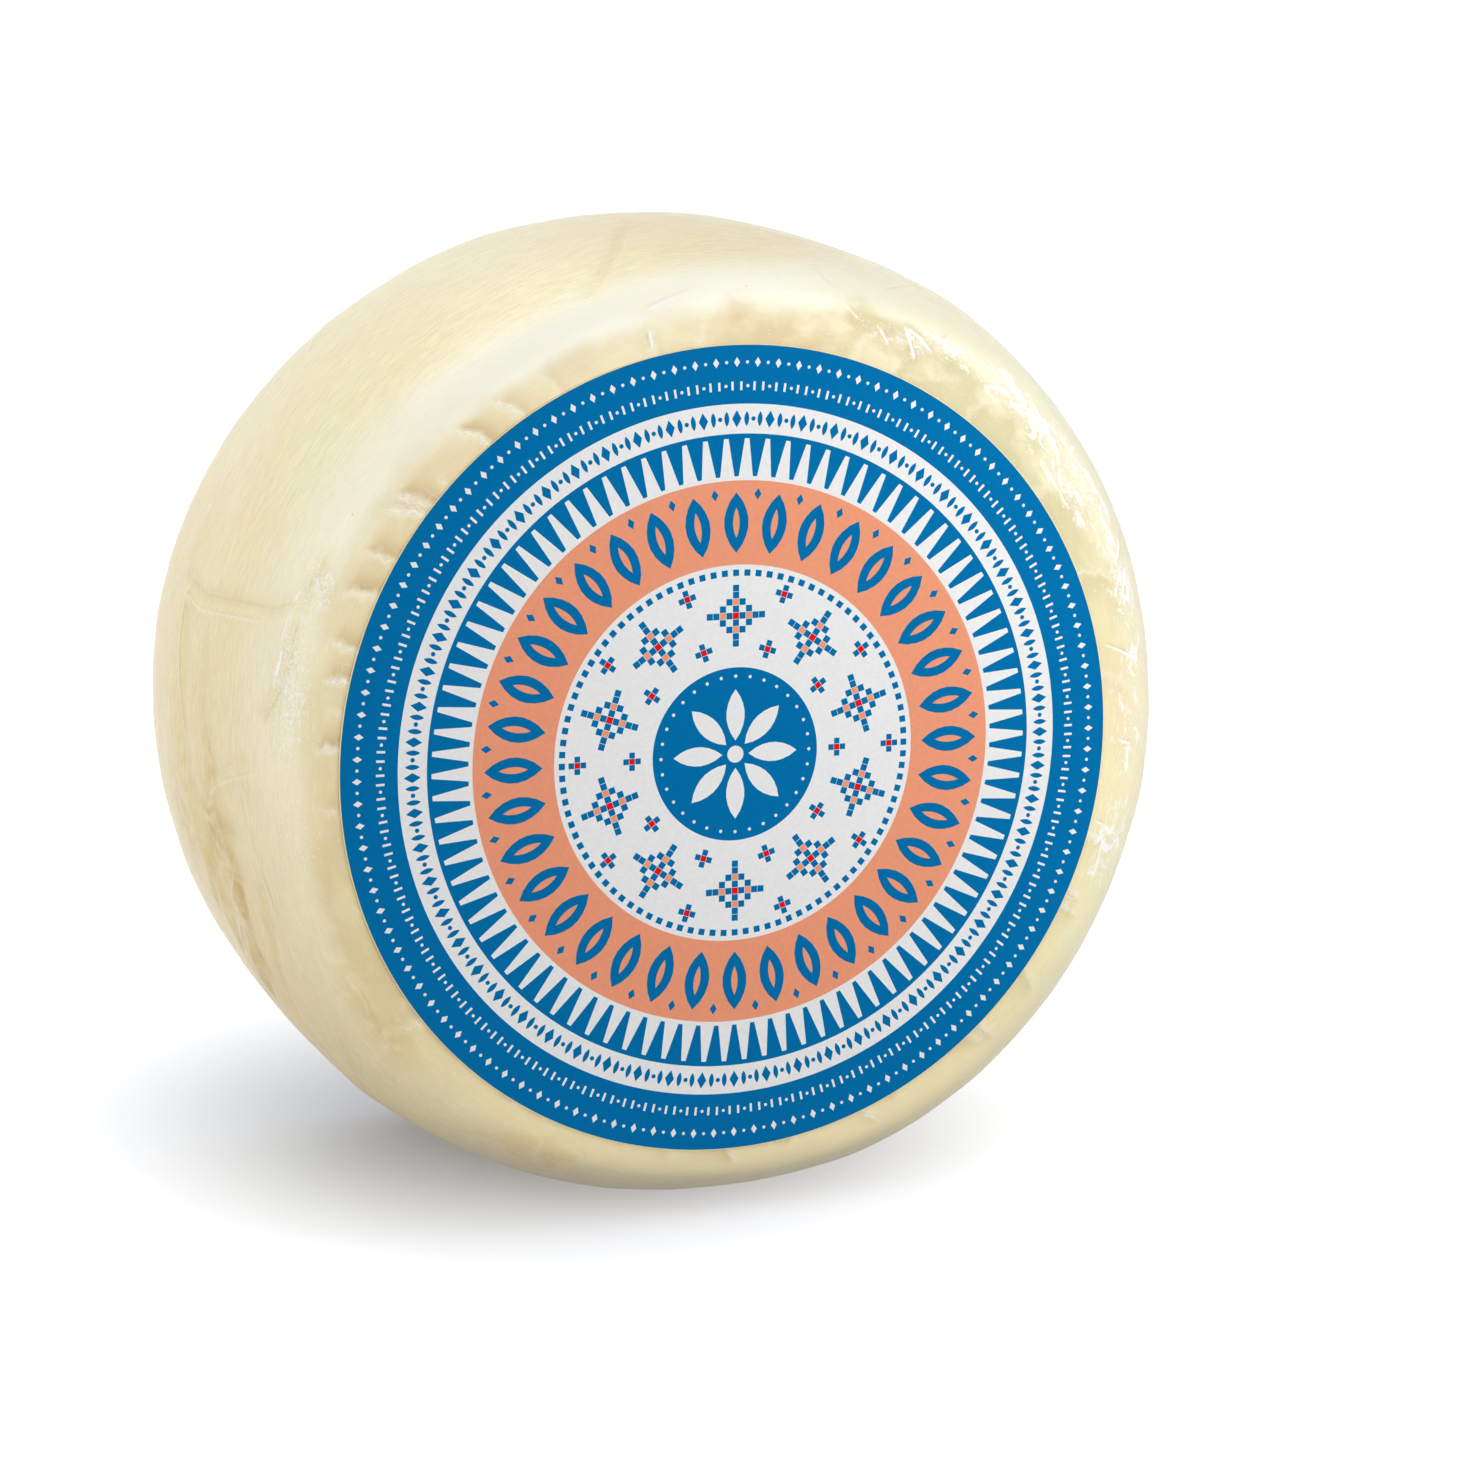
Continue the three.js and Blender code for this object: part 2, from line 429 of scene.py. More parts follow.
def makeCheese():
    draw = random.Random(wheel["seed"])
    radius, y, across = (column[:, None] for column in wheelSection())
    turn = np.linspace(0, 360, wheel["turnSteps"], endpoint=False)[None, :]
    along = y / wheel["halfHeight"]
    outward, axial = sectionNormal(radius, y)

    cos, sin = np.cos(np.radians(turn)), np.sin(np.radians(turn))
    sheet = np.stack(np.broadcast_arrays(radius * cos, across, radius * sin), -1)
    flat = sheet.reshape(-1, 3)
    shape = sheet.shape[:2]
    lumps = sum(noiseField(flat, size, seed) * height for size, seed, height in wheel["lumps"])
    length, width, seed, height = wheel["streaks"]
    streaks = noiseField(flat / (length, width, length), 1, seed) * height

    middle = (trough["inner"] + trough["outer"]) / 2
    bowl = hump(radius - middle, (trough["outer"] - trough["inner"]) / 2)
    uneven = 1 + 0.5 * noiseField(flat, 14, 4).reshape(shape)
    given = pleats + drawnPleats(draw, lambda angle: not 196 < angle < 350)
    near, far = pleatRelief(turn, radius, given), pleatRelief(turn, radius, drawnPleats(draw))
    both = (np.where(along < 0, n, f) for n, f in zip(near, far))
    pleatHeight, pleatShade, pleatPlace, pleatStrength = both
    foldHeight, grooveShade, foldPlace, foldStrength = foldRelief(turn, across, folds + farFolds)
    creaseHeight = creaseRelief(turn, along)

    relief = (outlineRelief(turn) + swellRelief(turn, along)) * outward + creaseHeight + foldHeight
    relief = relief + (pleatHeight - roundTable(turn, trough["depth"]) * uneven) * bowl
    underLabel = np.where(along < 0, 1 - ramp(radius, 70, 73.5), 0)  # stays flat where the paper lies
    relief = relief + (lumps + streaks).reshape(shape) * (1 - underLabel)

    reliefRadius = radius + relief * outward
    centreHeight = wheel["radius"] + outlineRelief(-90) - wheel["restDepth"]
    blend = wheel["restBlend"]
    height = reliefRadius * sin + centreHeight
    rounded = (height + blend) ** 2 / (4 * blend)
    height = np.where(height > blend, height, np.where(height < -blend, 0, rounded))
    place = np.stack(np.broadcast_arrays(reliefRadius * cos, y + relief * axial, height), -1) * mm

    rings, turns = shape
    index = np.arange(rings * turns).reshape(rings, turns)
    right = np.roll(index, -1, 1)
    quads = np.stack([index[:-1], right[:-1], right[1:], index[1:]], -1).reshape(-1, 4)
    nearPole, farPole = rings * turns, rings * turns + 1
    caps = [(nearPole, int(right[0, k]), int(index[0, k])) for k in range(turns)]
    caps += [(farPole, int(index[-1, k]), int(right[-1, k])) for k in range(turns)]
    poles = [(0, end * wheel["halfHeight"] * mm, centreHeight * mm) for end in (-1, 1)]

    mesh = bpy.data.meshes.new("cheeseWheel")
    mesh.from_pydata(place.reshape(-1, 3).tolist() + poles, [], quads.tolist() + caps)
    mesh.polygons.foreach_set("use_smooth", [True] * len(mesh.polygons))

    # What the material reads: the place on the unrolled rind in millimetres, and how much of each thing
    # there is at a point. x runs to the right and z up, as the labelled face is seen
    rindPlace = mesh.attributes.new("rindPlace", "FLOAT_VECTOR", "POINT")
    ends = [[0, across[0, 0] - 10, 0], [0, across[-1, 0] + 10, 0]]
    rindPlace.data.foreach_set("vector", np.concatenate([flat, ends]).ravel())
    x, z = radius * cos, radius * sin
    side, rightward = ramp(radius, 76, 84), ramp(x, -5, 45)
    thickCoat, stain = softField(turn, across, thickCoats), softField(turn, across, stains)
    ragged = thickCoat * (0.3 + 0.7 * rightward)
    edge = np.where(along < 0, roundTable(turn, margin["edge"]), roundTable(turn + 150, margin["edge"]))
    marginPlace = edge - radius
    farTan = 0.1 + 0.4 * ramp(radius, 52, 68)
    # Where the painted sheen lies: the shoulder just outside the margin
    shoulder = ramp(marginPlace, -10, -4) * (1 - 0.75 * ramp(marginPlace, -1, 3))
    # ochre painted shade, deepest in the crease
    creaseOchreShade = np.clip(-creaseHeight / crease["depth"], 0, 1) * 0.2
    layers = {
        "side": side,
        "rightward": rightward,
        # painted shade: deeper cream towards the bottom of the wheel
        "low": rindShares["low"] * np.interp(z, (-60, 45), (1, 0)) * (0.1 + 0.9 * side),
        # painted shade: dark brown at the very bottom, where the wheel meets the floor
        "under": rindShares["under"] * ramp(z, -60, -80) * (0.3 + 0.7 * side),
        # painted light: paler towards the top right
        "dry": rindShares["dry"] * ramp(z, 20, 60) * rightward,
        "streakShare": 0.4 + 0.6 * side,
        # painted sheen on the shoulder, stronger at the top and weaker on the far left
        "pale": shoulder * np.interp(z, (-60, 75), (0.3, 1)) * np.interp(x, (-88, -40), (0.65, 1))
                * (1 - 0.3 * thickCoat),
        # painted light: warmer and paler low on each face, beside the label
        "lowLip": ramp(z, -55, -68) * np.interp(side, (0, 0.3), (0.7, 0)),
        "marginPlace": marginPlace,
        "marginTan": np.where(along < 0, roundTable(turn, margin["strength"]), farTan),
        "pleatShade": pleatShade,
        "pleatPlace": pleatPlace,
        "pleatStrength": pleatStrength,
        # ochre painted shade by the grooves and in the crease
        "fold": rindShares["fold"] * np.maximum(grooveShade, creaseOchreShade),
        "foldPlace": foldPlace,
        "foldStrength": foldStrength,
        # how strong the painted highlight on a fold's lip is, more where the coating is thick
        "lipShine": np.interp(thickCoat, (0, 0.6), (0.45, 2)),
        "stain": stain,
        "stainVeil": rindShares["stainVeil"] * stain,
        "thickCoat": thickCoat,
        # where painted glints lie in ragged sheets
        "sheetLift": 0.14 * ragged,
        "sheetShare": np.interp(ragged, (0.1, 0.4), (0, 1)),
        "grainHeight": 0.25 + 1.95 * thickCoat,
    }
    for name, values in layers.items():
        layer = mesh.attributes.new(name, "FLOAT", "POINT")
        rows = np.broadcast_to(values, shape)
        layer.data.foreach_set("value", np.append(rows, [rows[0, 0], rows[-1, 0]]).astype(np.float32))

    cheese = bpy.data.objects.new("cheeseWheel", mesh)
    bpy.context.scene.collection.objects.link(cheese)
    mesh.materials.append(coatedRind(layers))
    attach(cheese, "root")
    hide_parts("cheese")
    return cheese


# Pressed sheep's milk curd under a clear food coating. The curd is cream and lets a little light in,
# which softens its creases; the brushed-on coating gives a satin gloss, roughened by a fine grain. Its
# sparkle is painted into the colour as white glints.

rindLook = {
    "cream": "#F5E9BD",
    "warmCream": "#F4E2B4",
    "greenCream": "#F1E9BB",
    # painted shade, deeper low on the wheel and dark brown under it
    "lowShadeCream": "#F0D690",
    "underShadeBrown": "#957A42",
    # painted light on the low face beside the label
    "lowFaceLightCream": "#FFEFC2",
    "marginTan": "#DDC79A",
    "marginOlive": "#D3CB9F",
    # painted shade in the pleats' hollows, then painted highlight on their crests
    "hollowShade": "#CDAE76",
    "crest": "#FFFAEC",
    # painted sheen and painted light, greener to the right
    "paintedLightPale": "#FAF8E9",
    "paintedLightOlive": "#EEEBD0",
    # ochre of the oil stains, and ochre painted shade in grooves and the crease
    "ochreStainAndShade": "#D9BF7E",
    "stainOchre": "#CFA636",
    "speck": "#B08B50",
    # painted glints and highlights
    "paintedGlint": "#FFFFFF",
    "marginWander": 1.0,  # how far the margin's edge strays, in millimetres
    "crestLine": 0.5,  # half the width of a pleat's crisp crest
    "crestStray": 0.8,
    "flankWidth": 1.5,
    "foldLine": 0.38,  # half the width of a fold's lip, and of the groove beside it
    "speckGap": 13.0,
}

# How strongly each colour is laid over the cream, from 0 to 1
rindShares = {
    # Shares of painted shade (low cream, underside, hollows, folds, grooves) and painted light (top right,
    # pleats, glints)
    "low": 0.9,
    "under": 0.66,
    "dry": 0.45,
    "hollow": 0.55,
    "flankHighlight": 0.4,
    "crest": 0.7,
    "fold": 0.34,
    "groove": 0.35,
    "stainVeil": 0.4,
    "blots": 0.85,
    "sheets": 0.75,
    "glints": 0.75,
    "specks": 0.4,
}

rindBumps = {"streaks": 0.2, "crests": 0.12, "folds": 0.07, "grain": 0.12}  # depths in millimetres

# The rind's patterns: how long each is round the side and how wide across it in millimetres, whether it is
# shifted off the others, and its settings. Real streaks, glints and grain are finer than a pixel
rindPatterns = {
    "patches": (26, 26, 0, {"Detail": 3}),
    "greenPatches": (36.4, 36.4, 1, {"Detail": 2}),
    "streaks": (3.6, 0.4, 0, {"Detail": 3, "Roughness": 0.6}),
    "wander": (7, 7, 0, {"Detail": 3}),
    "mottle": (9, 9, 1, {"Detail": 3}),
    "stray": (2, 2, 0, {"Detail": 2, "Roughness": 0.6}),
    "veins": (11, 5.5, 0, {
        "noise_type": "RIDGED_MULTIFRACTAL", "normalize": True, "Detail": 2.5, "Distortion": 0.7,
    }),
    "blots": (6, 6, 0, {"Detail": 4, "Roughness": 0.6, "Distortion": 0.8}),
    "sheets": (4.8, 2.4, 0, {"Detail": 4, "Roughness": 0.62, "Distortion": 1.2}),
    "flecks": (0.5818, 0.32, 0, {"Detail": 2, "Roughness": 0.6, "Distortion": 0.8}),
    "grain": (0.45, 0.45, 0, {"Detail": 2, "Roughness": 0.6}),
}


def coatedRind(layers):
    look, shares, bumps = rindLook, rindShares, rindBumps
    material, tree = newMaterial("coatedCheeseRind")
    add = partial(addNode, tree)
    times, plus = {"operation": "MULTIPLY"}, {"operation": "ADD"}
    smooth, blend = {"interpolation_type": "SMOOTHSTEP"}, {"data_type": "RGBA"}

    place = add("Attribute", {"attribute_name": "rindPlace"}).outputs["Vector"]
    read = {name: add("Attribute", {"attribute_name": name}).outputs["Fac"] for name in layers}
    noises = {}
    for name, (length, width, shift, settings) in rindPatterns.items():
        scale = Vector((1 / length, 1 / width, 1 / length))
        moved = scale * Vector((31, 7, 53)) * shift
        spot = add("VectorMath", {"operation": "MULTIPLY_ADD", 1: scale, 2: moved}, {0: place})
        noises[name] = add("TexNoise", {"Scale": 1, **settings}, {"Vector": spot})

    # Broad patches of warmer and greener cream, where the curd dried unevenly. Painted shade makes the cream
    # deeper low on the wheel and brown underneath, and painted light makes it paler at the top right
    warm = add("MapRange", {"From Min": 0.38, "From Max": 0.62}, {"Value": noises["patches"]})
    green = add("MapRange", {"From Min": 0.45, "From Max": 0.7}, {"Value": noises["greenPatches"]})
    colour = add("Mix", {**blend, 6: hexColour(look["cream"]), 7: hexColour(look["warmCream"])}, {0: warm})
    for name, share in (
        ("greenCream", green), ("lowShadeCream", read["low"]), ("underShadeBrown", read["under"]),
        ("paintedLightPale", read["dry"]),
    ):
        colour = add("Mix", {**blend, 7: hexColour(look[name])}, {0: share, 6: colour})

    # Fine short lines round the side, left by the cloth and the drying boards
    tone = add("MapRange", {
        "From Min": 0.3, "From Max": 0.7, "To Min": -0.1, "To Max": 0.095,
    }, {"Value": noises["streaks"]})
    tone = add("Math", {"operation": "MULTIPLY_ADD", 2: 1}, {0: tone, 1: read["streakShare"]})
    colour = add("VectorMath", {"operation": "SCALE"}, {0: colour, "Scale": tone})

    # Painted sheen: the shoulder outside the margin is painted paler, most at the top, as a soft highlight
    shoulder = add("Mix", {
        **blend, 6: hexColour(look["paintedLightPale"]), 7: hexColour(look["paintedLightOlive"]),
    }, {0: read["rightward"]})
    colour = add("Mix", blend, {0: read["pale"], 6: colour, 7: shoulder})
    # Painted light: low on each face, beside the label, the rind is painted warmer and paler
    colour = add("Mix", {**blend, 7: hexColour(look["lowFaceLightCream"])}, {0: read["lowLip"], 6: colour})

    # In the margin the rind is tanner, and more olive to the right. Painted shade darkens it most in the
    # hollow beside each pleat
    inside = add("MapRange", {
        "From Min": 0.3, "From Max": 0.7, "To Min": -look["marginWander"], "To Max": look["marginWander"],
    }, {"Value": noises["wander"]})
    inside = add("Math", plus, {0: read["marginPlace"], 1: inside})
    inMargin = add("MapRange", {**smooth, "From Min": -2.8, "From Max": 2.2}, {"Value": inside})
    tan = add("MapRange", {
        "From Min": 0.38, "From Max": 0.62, "To Min": 0.45, "To Max": 1.3,
    }, {"Value": noises["mottle"]})
    tan = add("Math", times, {0: read["marginTan"], 1: tan})
    tan = add("Math", {"operation": "MAXIMUM"}, {0: tan, 1: read["pleatShade"]})
    tan = add("Math", times, {0: tan, 1: inMargin})
    tanColour = add("Mix", {
        **blend, 6: hexColour(look["marginTan"]), 7: hexColour(look["marginOlive"]),
    }, {0: read["rightward"]})
    colour = add("Mix", blend, {0: tan, 6: colour, 7: tanColour})
    hollow = add("Math", times, {0: read["pleatShade"], 1: inMargin})
    hollow = add("Math", {**times, 1: shares["hollow"]}, {0: hollow})

    # Painted highlight: the crisp crest of each pleat, and its flank, are painted pale
    offset = add("MapRange", {
        "From Min": 0.3, "From Max": 0.7, "To Min": -look["crestStray"], "To Max": look["crestStray"],
    }, {"Value": noises["stray"]})
    offset = add("Math", plus, {0: read["pleatPlace"], 1: offset})
    square = add("Math", times, {0: offset, 1: offset})
    flankHighlight = add("MapRange", {
        **smooth, "From Min": look["flankWidth"] ** 2, "From Max": 0, "To Max": shares["flankHighlight"],
    }, {"Value": square})
    flankHighlight = add("Math", times, {0: flankHighlight, 1: read["pleatStrength"]})
    crest = add("MapRange", {**smooth, "From Min": look["crestLine"] ** 2, "From Max": 0}, {"Value": square})
    crest = add("Math", times, {0: crest, 1: read["pleatStrength"]})
    uneven = add("MapRange", {
        "From Min": 0.35, "From Max": 0.6, "To Min": 0.35, "To Max": 1.1,
    }, {"Value": noises["wander"]})
    crest = add("Math", times, {0: crest, 1: uneven})
    crestHighlight = add("Math", {**times, 1: shares["crest"]}, {0: crest})

    # Oil stains the creased places in a net of fine veins drawn out round the side
    veins = add("MapRange", {"From Min": 0.46, "From Max": 0.6}, {"Value": noises["veins"]})
    blots = add("MapRange", {
        "From Min": 0.43, "From Max": 0.58, "To Max": shares["blots"],
    }, {"Value": noises["blots"]})
    stained = add("Math", {"operation": "MAXIMUM"}, {0: veins, 1: blots})
    stained = add("Math", times, {0: stained, 1: read["stain"]})

    # The crisp middle of each fold: a thin raised lip with a thin groove beside it. The lip gets a painted
    # highlight, strongest where the coating is thick, and the groove painted shade
    line = look["foldLine"]
    beside = add("Math", {"operation": "SUBTRACT", 1: line * 1.5}, {0: read["foldPlace"]})
    depth = add("Math", {"operation": "ABSOLUTE"}, {0: read["foldStrength"]})
    lines = []
    for offset, strength in ((read["foldPlace"], read["foldStrength"]), (beside, depth)):
        square = add("Math", times, {0: offset, 1: offset})
        middle = add("MapRange", {**smooth, "From Min": line ** 2, "From Max": 0}, {"Value": square})
        lines.append(add("Math", times, {0: middle, 1: strength}))
    lip, groove = lines
    grooveShadeTone = add("Math", {**times, 1: shares["groove"]}, {0: groove})
    # painted highlight on the lip
    lipHighlight = add("Math", {"operation": "MAXIMUM", 1: 0}, {0: lip})
    lipHighlight = add("Math", times, {0: lipHighlight, 1: read["lipShine"]})

    # Painted glints: where the coating is thick and crumpled, white highlights are painted in ragged sheets
    # to the right of the label, and everywhere it is thick in flecks about a third of a millimetre across
    sheets = add("Math", plus, {0: noises["sheets"], 1: read["sheetLift"]})
    sheets = add("MapRange", {
        "From Min": 0.59, "From Max": 0.68, "To Max": shares["sheets"],
    }, {"Value": sheets})
    sheets = add("Math", times, {0: sheets, 1: read["sheetShare"]})
    patchy = add("MapRange", {
        "From Min": 0.3, "From Max": 0.65, "To Min": 0.13, "To Max": 0.26,
    }, {"Value": noises["mottle"]})
    glints = add("Math", {"operation": "MULTIPLY_ADD"}, {
        0: read["thickCoat"], 1: patchy, 2: noises["flecks"],
    })
    glints = add("MapRange", {
        "From Min": 0.672, "From Max": 0.765, "To Max": shares["glints"],
    }, {"Value": glints})

    # A few brown specks well under a millimetre across
    cells = add("TexVoronoi", {"Scale": 1 / look["speckGap"]}, {"Vector": place})
    specks = add("MapRange", {
        "From Min": 0.01, "From Max": 0.022, "To Min": shares["specks"], "To Max": 0,
    }, {"Value": cells})

    # Laid over the cream in turn: painted shade, painted highlights, ochre of stains, painted glints and
    # specks
    for name, share in (
        ("hollowShade", hollow), ("crest", flankHighlight), ("crest", crestHighlight), ("ochreStainAndShade", read["fold"]),
        ("ochreStainAndShade", read["stainVeil"]), ("stainOchre", stained), ("ochreStainAndShade", grooveShadeTone),
        ("paintedGlint", lipHighlight), ("paintedGlint", sheets), ("paintedGlint", glints), ("speck", specks),
    ):
        colour = add("Mix", {**blend, 7: hexColour(look[name])}, {0: share, 6: colour})

    # Bump: brushed streaks on the side, pleats and folds, and a grain that is rougher in thick coating
    streakHeight = add("Math", times, {0: noises["streaks"], 1: read["side"]})
    foldHeight = add("Math", {"operation": "SUBTRACT"}, {0: lip, 1: groove})
    grain = add("Math", times, {0: noises["grain"], 1: read["grainHeight"]})
    normal = {}
    heights = {"streaks": streakHeight, "crests": crest, "folds": foldHeight, "grain": grain}
    for name, height in heights.items():
        normal = {"Normal": add("Bump", {"Distance": bumps[name] * mm}, {"Height": height, **normal})}

    shader = add("BsdfPrincipled", {
        "Roughness": 0.42,
        "IOR": 1.45,
        "Subsurface Weight": 0.2,
        "Subsurface Radius": (1.0, 0.7, 0.35),
        "Subsurface Scale": 3 * mm,
        "Coat Weight": 0.5,
        "Coat Roughness": 0.18,
        "Coat IOR": 1.45,
    }, {"Base Color": colour, "Coat Normal": normal["Normal"], **normal})
    add("OutputMaterial", {}, {"Surface": shader})
    return material


cheese = makeCheese()
print("the wheel of cheese is made:", len(cheese.data.polygons), "faces")


# The label. Its printed fields are drawn as flat shapes, one over another, and cut into one sheet

label = {
    "radius": (labelHigh.x - labelLow.x) / 2 / mm,
    "edge": 0.12,  # bare paper shows along the cut
    "circleSteps": 288,
    "borderIn": 0.857,  # the rings' inner edges, as shares of the radius
    "marksIn": 0.785,
    "raysIn": 0.672,
    "salmonIn": 0.467,
    "hub": 0.215,
    "rays": 90,
    "leaves": 36,
    "flowers": 10,
    "cell": 1.2,
}


def polar(radius, degrees):
    return (radius * math.cos(math.radians(degrees)), radius * math.sin(math.radians(degrees)))


def disc(radius, centre=(0, 0), steps=None):
    steps = steps or label["circleSteps"]
    return [(centre[0] + x, centre[1] + y) for x, y in (polar(radius, 360 * i / steps) for i in range(steps))]


def turned(points, degrees, radius=0):
    # Points drawn upright about (0, radius), swung round the label's middle. 0 leaves them at the top
    c, s = math.cos(math.radians(degrees)), math.sin(math.radians(degrees))
    return [(x * c - (y + radius) * s, x * s + (y + radius) * c) for x, y in points]


def lozenge(width, height):
    return [(0, -height / 2), (width / 2, 0), (0, height / 2), (-width / 2, 0)]


def leaf(width, height, steps=7):
    # A pointed oval, upright about the origin
    shares = [i / steps for i in range(steps + 1)]
    side = [(width / 2 * math.sin(math.pi * t) ** 0.8, -height / 2 + height * t) for t in shares]
    return side + [(-x, y) for x, y in side[-2:0:-1]]


def bar(width, height):
    return [(width * x, height * y) for x, y in ((-0.5, -0.5), (0.5, -0.5), (0.5, 0.5), (-0.5, 0.5))]


def labelShapes():
    full = label["radius"]
    shapes = [("paper", disc(full)), ("blue", disc(full - label["edge"]))]

    def ringOf(count, ink, motif, radius, first=0.0):
        for i in range(count):
            shapes.append((ink, turned(motif, 360 * (i + first) / count, radius)))

    # Two rows of small white marks in the blue border
    ringOf(112, "white", lozenge(1.1, 1.7), full * 0.957)
    ringOf(112, "white", disc(0.3, steps=8), full * 0.957, 0.5)
    ringOf(100, "white", bar(0.42, 1.5), full * 0.9, 0.2)
    ringOf(100, "white", bar(0.42, 1.5), full * 0.9, -0.2)
    ringOf(100, "white", disc(0.3, steps=8), full * 0.9, 0.5)

    # A white ring with blue lozenges between small leaves
    shapes.append(("white", disc(full * label["borderIn"])))
    middle = full * (label["borderIn"] + label["marksIn"]) / 2
    ringOf(60, "blue", lozenge(1.7, 3.0), middle)
    ringOf(60, "blue", leaf(0.9, 2.6), middle, 0.3)
    ringOf(60, "blue", leaf(0.9, 2.6), middle, -0.3)
    ringOf(60, "blue", disc(0.4, steps=10), middle, 0.5)

    # Long blue rays that point inwards from a thin blue line
    outer, inner = full * label["marksIn"], full * label["raysIn"]
    shapes.append(("blue", disc(outer)))
    shapes.append(("white", disc(outer - 0.8)))
    half = math.pi * outer / label["rays"]
    base, tip = outer - 0.7, inner + 0.7
    ray = [(x * half, y) for x, y in ((-0.78, base), (-0.2, tip), (0.2, tip), (0.78, base))]
    ringOf(label["rays"], "blue", ray, 0)

    # The salmon ring, with bold blue leaves and a small lozenge in each gap
    outer, inner = full * label["raysIn"], full * label["salmonIn"]
    shapes.append(("salmon", disc(outer)))
    middle, tall = (outer + inner) / 2, (outer - inner) * 0.72
    ringOf(label["leaves"], "blue", leaf(4.5, tall), middle)
    ringOf(label["leaves"], "salmon", leaf(1.2, tall * 0.5), middle)
    ringOf(label["leaves"], "blue", lozenge(1.3, 2.0), outer - 2.3, 0.5)

    # The white middle: a round of running stitches, then stepped flowers in cross-stitch squares
    shapes.append(("white", disc(inner)))
    ringOf(96, "blue", bar(1.1, 1.1), inner - 1.4)
    cell = label["cell"]
    stitchInk = {0: "red", 1: "blue", 3: "blue", 4: "blue"}
    for row in range(-4, 5):
        for column in range(-4, 5):
            steps, onAxis = abs(row) + abs(column), row * column == 0
            ink = "salmon" if steps == 2 and onAxis else stitchInk.get(steps)
            if ink and (steps < 4 or onAxis):
                square = bar(cell * 0.94, cell * 0.94)
                stitch = [(x + column * cell, y + row * cell) for x, y in square]
                ringOf(label["flowers"], ink, stitch, full * 0.342)

    # Little crosses between the flowers, on both sides
    for radius in (full * 0.408, full * 0.268):
        for column, row in ((0, 0), (1, 0), (-1, 0), (0, 1), (0, -1)):
            square = bar(cell * 0.84, cell * 0.84)
            stitch = [(x + column * cell * 0.9, y + row * cell * 0.9) for x, y in square]
            ringOf(label["flowers"], "blue" if column or row else "red", stitch, radius, 0.5)

    # The hub, with a plain white rosette
    shapes.append(("blue", disc(full * label["hub"])))
    ringOf(8, "white", leaf(3.4, 9.0), 6.9)
    shapes.append(("white", disc(1.5, steps=24)))
    ringOf(32, "white", disc(0.32, steps=6), full * label["hub"] * 0.9)
    return shapes


# Uncoated label paper, printed in flat inks of four colours. The ink soaks in, so the sheet stays matte
# and its fibres show as a fine mottle. They are drawn coarser than the real ones, so that they show

inks = {
    "paper": "#F7E3B4",
    "blue": "#0079B0",
    "white": "#EDEDED",
    "salmon": "#EFA383",
    "red": "#E5202B",
}
paperGrain = 0.55


def printedPaper(ink):
    material, tree = newMaterial(f"printedPaper-{ink}")
    place = addNode(tree, "TexCoord").outputs["Object"]
    grain = addNode(tree, "TexNoise", {
        "Scale": 1 / (paperGrain * mm), "Detail": 2, "Roughness": 0.6,
    }, {"Vector": place})
    tone = addNode(tree, "MapRange", {
        "From Min": 0.3, "From Max": 0.7, "To Min": 0.965, "To Max": 1.02,
    }, {"Value": grain})
    colour = addNode(tree, "VectorMath", {"operation": "SCALE", 0: hexColour(inks[ink])[:3]}, {"Scale": tone})
    normal = addNode(tree, "Bump", {"Distance": 0.02 * mm}, {"Height": grain})
    shader = addNode(tree, "BsdfPrincipled", {
        "Roughness": 0.7, "IOR": 1.45, "Specular IOR Level": 0.04,
    }, {"Base Color": colour, "Normal": normal})
    addNode(tree, "OutputMaterial", {}, {"Surface": shader})
    return material


def makeLabel():
    shapes = labelShapes()
    points, faces = [], []
    for ink, outline in shapes:
        faces.append(list(range(len(points), len(points) + len(outline))))
        points.extend(Vector(p) for p in outline)
    cut, _, triangles, _, _, sources = geometry.delaunay_2d_cdt(points, [], faces, 1, 1e-4)
    middle = Vector(((labelLow.x + labelHigh.x) / 2, 0, (labelLow.z + labelHigh.z) / 2))
    front, back = labelLow.y, labelHigh.y

    sheet = bmesh.new()
    verts = [sheet.verts.new((middle.x + p.x * mm, front, middle.z + p.y * mm)) for p in cut]
    order = list(inks)
    for triangle, source in zip(triangles, sources):
        if source:
            face = sheet.faces.new([verts[k] for k in triangle])
            face.material_index = order.index(shapes[max(source)][0])
    edge = [e for e in sheet.edges if e.is_boundary]
    wall = bmesh.ops.extrude_edge_only(sheet, edges=edge)["geom"]
    rear = [v for v in wall if isinstance(v, bmesh.types.BMVert)]
    for v in rear:
        v.co.y = back
    bmesh.ops.contextual_create(sheet, geom=[e for e in sheet.edges if e.is_boundary])
    bmesh.ops.recalc_face_normals(sheet, faces=sheet.faces)
    mesh = bpy.data.meshes.new("paperLabel")
    sheet.to_mesh(mesh)
    sheet.free()

    paper = bpy.data.objects.new("paperLabel", mesh)
    bpy.context.scene.collection.objects.link(paper)
    for ink in order:
        mesh.materials.append(printedPaper(ink))
    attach(paper, "root")
    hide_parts("label")
    return paper


paper = makeLabel()
print("the label is made:", len(paper.data.polygons), "faces")


# The stage: a pale painted sweep that curves up behind the wheel. It is matte and glows; its glow is weak
# round the wheel's foot, which paints a shadow there, and strong away from it

